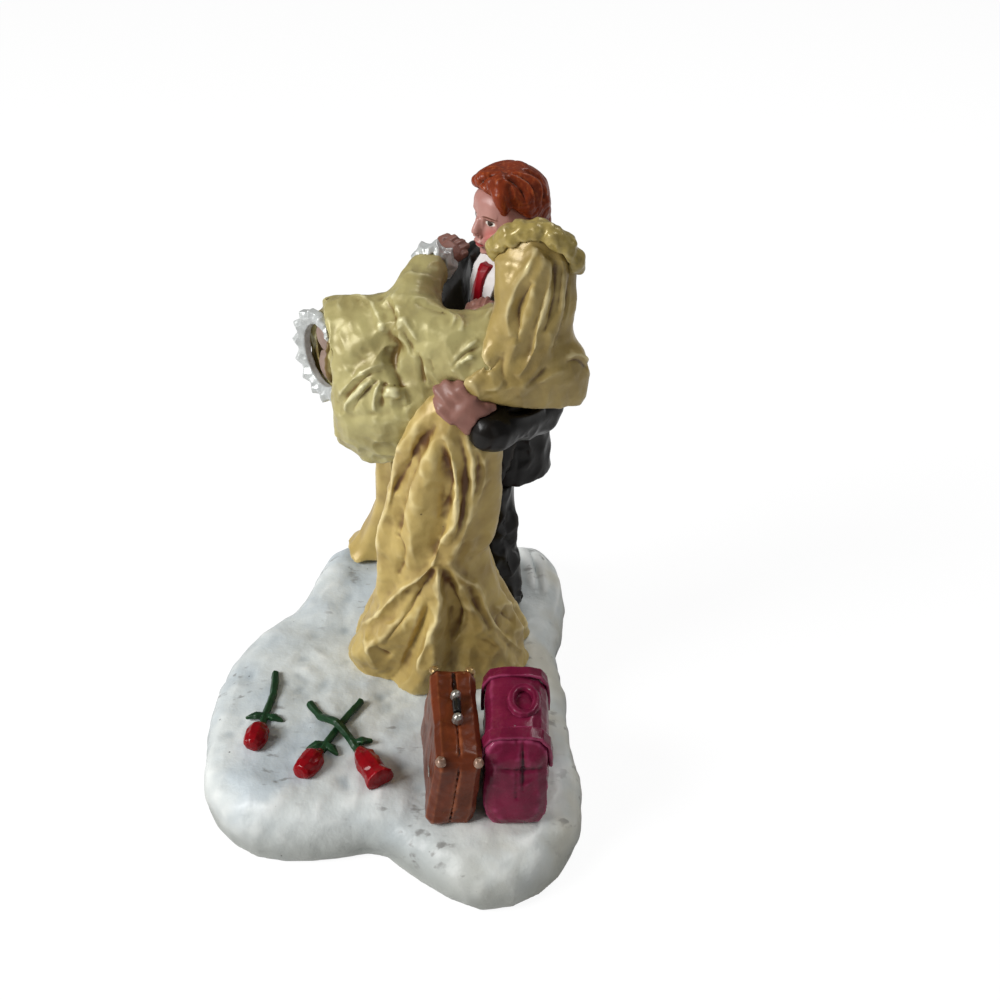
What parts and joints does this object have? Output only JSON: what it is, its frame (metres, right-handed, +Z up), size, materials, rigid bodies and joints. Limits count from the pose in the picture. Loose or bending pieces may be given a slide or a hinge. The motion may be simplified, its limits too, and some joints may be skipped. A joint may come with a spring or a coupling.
{
  "type": "wedding cake topper",
  "caption": "Cast figurine for the top of a wedding cake: a groom in a dark suit carries a bride in a long cream dress over a snowy base, with luggage and roses beside them.",
  "frame": {"origin": "under the middle of the object's bounding box, on the plane of the base's underside", "axes": "+Z up from the base to the groom's head, -Y towards the side that the luggage faces, +X to the right as seen from there"},
  "size_m": [0.062, 0.079, 0.0907],
  "materials": {
    "snow": "white painted resin, satin, with grey specks",
    "brown_case": "brown varnished paint on resin",
    "silver": "silver paint on resin",
    "black": "black paint on resin",
    "gold": "gold paint on resin",
    "pink_case": "magenta varnished paint on resin",
    "auburn": "auburn paint on resin",
    "skin": "flesh paint on resin",
    "tie": "crimson paint on resin",
    "shirt": "white paint on resin",
    "suit": "brown-black paint on resin, semi-gloss",
    "dress": "pearly cream paint on resin",
    "lace": "silvery pearl paint on resin",
    "veil": "pearly cream paint on resin",
    "rose": "crimson varnished paint on resin",
    "stem": "dark green paint on resin"
  },
  "bodies": {
    "root": {"snow_base": "snow", "brown_case_body": "brown_case", "brown_case_grip_post_front": "silver", "brown_case_grip_post_back": "silver", "brown_case_grip": "black", "brown_case_corner_front_left": "gold", "brown_case_corner_front_right": "gold", "brown_case_corner_back_left": "gold", "brown_case_corner_back_right": "gold", "brown_case_side_clasp": "black", "pink_case_body": "pink_case", "pink_case_front_strap": "pink_case", "pink_case_back_strap": "pink_case", "pink_case_handle": "pink_case", "groom_hair": "auburn", "groom_head": "skin", "groom_tie": "tie", "groom_shirt": "shirt", "groom_jacket": "suit", "groom_trousers": "suit", "groom_left_shoe": "suit", "groom_right_shoe": "suit", "groom_left_sleeve": "suit", "groom_right_sleeve": "suit", "bride_hair": "auburn", "bride_head": "skin", "bride_bodice": "dress", "bride_skirt": "dress", "bride_left_cuff": "lace", "bride_right_cuff": "lace", "bride_left_sleeve": "dress", "bride_right_sleeve": "dress", "dress_train": "dress", "dress_fall": "dress", "bride_veil": "veil", "veil_crown": "veil", "groom_left_hand": "skin", "groom_right_hand": "skin", "bride_left_hand": "skin", "bride_right_hand": "skin", "bride_legs": "skin", "bride_hem_lace": "lace", "rose_left_bloom": "rose", "rose_left_stem": "stem", "rose_middle_bloom": "rose", "rose_middle_stem": "stem", "rose_right_bloom": "rose", "rose_right_stem": "stem"}
  },
  "joints": []
}
